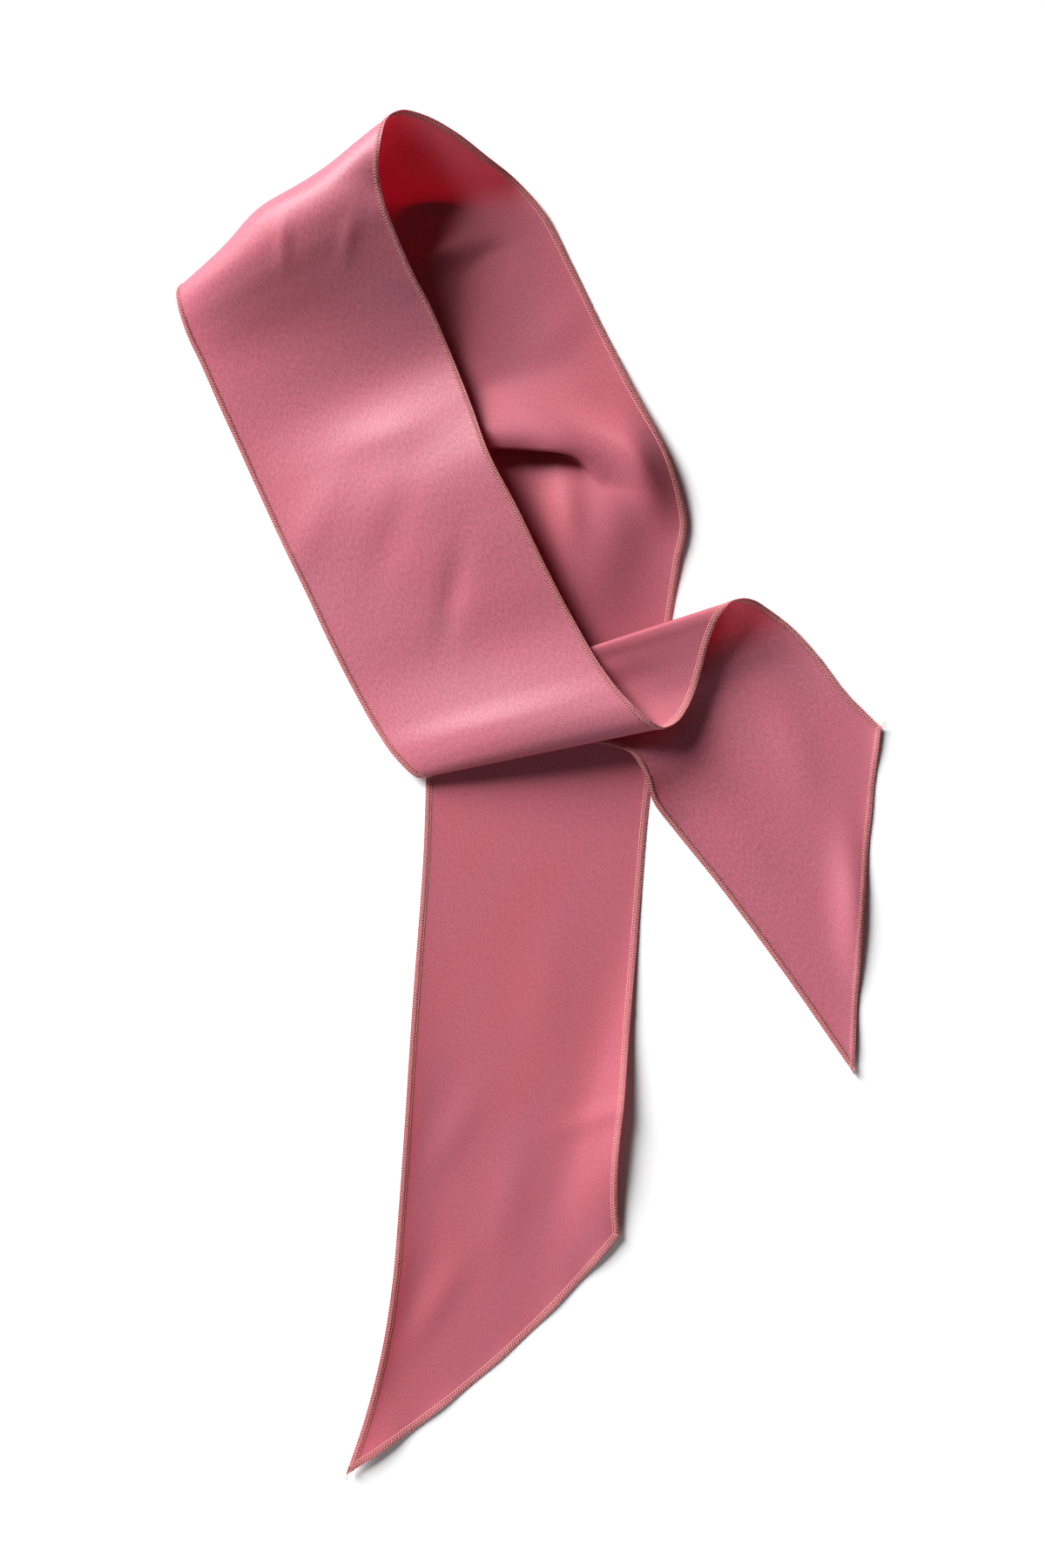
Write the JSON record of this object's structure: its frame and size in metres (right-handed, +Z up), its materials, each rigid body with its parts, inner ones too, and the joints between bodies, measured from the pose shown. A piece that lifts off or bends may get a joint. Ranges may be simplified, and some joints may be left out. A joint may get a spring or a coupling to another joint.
{
  "type": "scarf",
  "caption": "Narrow satin scarf with slanted, pointed ends, dropped on a flat surface in open loops, with its sides overlocked in a paler thread.",
  "frame": {"origin": "middle of the scarf's footprint, on the surface it lies on", "axes": "+Z up from the surface; +Y away from the viewer, along the scarf's length; +X to the right"},
  "size_m": [0.323, 0.6152, 0.0458],
  "materials": {
    "satin_cloth": "satin on the front side, matte crepe on the back",
    "overlock_thread": "matte sewing thread"
  },
  "bodies": {
    "root": {"lower_tail": "satin_cloth", "back_stretch": "satin_cloth", "top_roll": "satin_cloth", "front_stretch": "satin_cloth", "bottom_roll": "satin_cloth", "middle_stretch": "satin_cloth", "cross_roll": "satin_cloth", "right_tail": "satin_cloth"}
  },
  "joints": []
}
